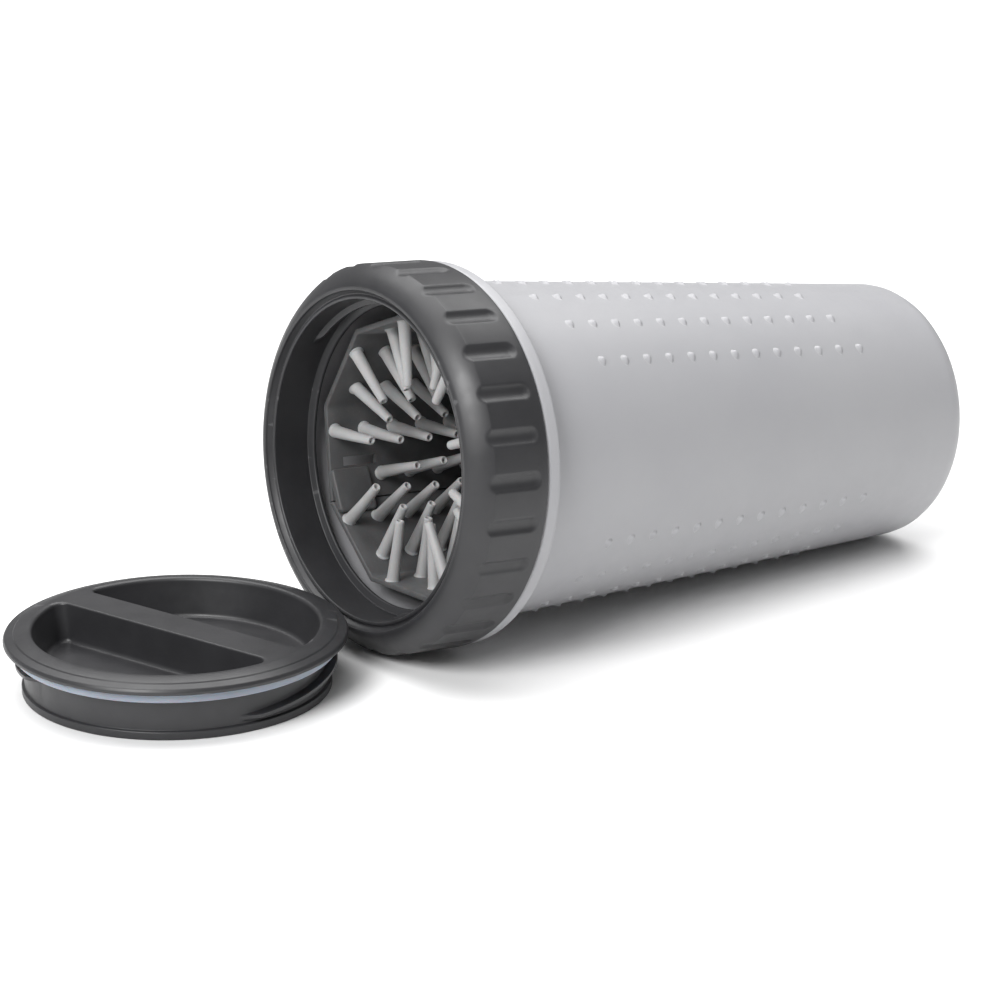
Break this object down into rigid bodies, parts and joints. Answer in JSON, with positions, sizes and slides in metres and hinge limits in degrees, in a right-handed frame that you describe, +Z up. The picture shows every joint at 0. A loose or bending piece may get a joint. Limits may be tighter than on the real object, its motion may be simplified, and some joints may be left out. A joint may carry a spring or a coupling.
{
  "type": "paw washer cup",
  "caption": "Tapered cup with a screw-on grip collar, a rolled bristle insert that cleans a dog's paw, and a twist-off lid with a bar handle, lying on its side.",
  "frame": {"origin": "on the resting surface, under the middle of the whole set's bounding box", "axes": "+X along the cup from mouth to base (the cup's own axis dips 5.4 degrees towards the base), +Z up, +Y across the cup, to the left as seen from the mouth"},
  "size_m": [0.3319, 0.1233, 0.1213],
  "materials": {
    "frosted_plastic": "frosted, slightly translucent",
    "dark_plastic": "fine satin",
    "silicone": "matte silicone",
    "gasket_silicone": "translucent blue-grey silicone",
    "seal_rubber": "soft silicone"
  },
  "bodies": {
    "tumbler": {"tumbler": "frosted_plastic"},
    "seal": {"collar_seal": "seal_rubber"},
    "collar": {"collar": "dark_plastic"},
    "insert": {"insert_sheet": "silicone", "insert_bristles": "silicone"},
    "gasket": {"lid_gasket": "gasket_silicone"},
    "lid": {"lid": "dark_plastic"}
  },
  "joints": [
    {"name": "seal_travel", "type": "slide", "parent": "tumbler", "child": "seal", "axis": [-0.9956, 0, 0.0938], "range_m": [0, 0.00501]},
    {"name": "collar_turn", "type": "hinge", "parent": "seal", "child": "collar", "pos_m": [-0.05419, -0.00165, 0.06212], "axis": [-0.9956, 0, 0.0938], "range_deg": [0, 150]},
    {"name": "insert_out", "type": "slide", "parent": "tumbler", "child": "insert", "axis": [-0.9956, 0, 0.0938], "range_m": [0, 0.192]},
    {"name": "lid_swing", "type": "hinge", "parent": "tumbler", "child": "gasket", "pos_m": [-0.22058, 0.00581, -0.02888], "axis": [0.0539, -0.9968, -0.0592], "range_deg": [0, 84.8]},
    {"name": "lid_turn", "type": "hinge", "parent": "gasket", "child": "lid", "pos_m": [-0.11419, 0.00985, 0], "axis": [0, 0, 1], "range_deg": [-75, 0]}
  ],
  "couplings": [
    {"joint": "seal_travel", "follows": "collar_turn", "m_per_rad": 0.0019099}
  ]
}
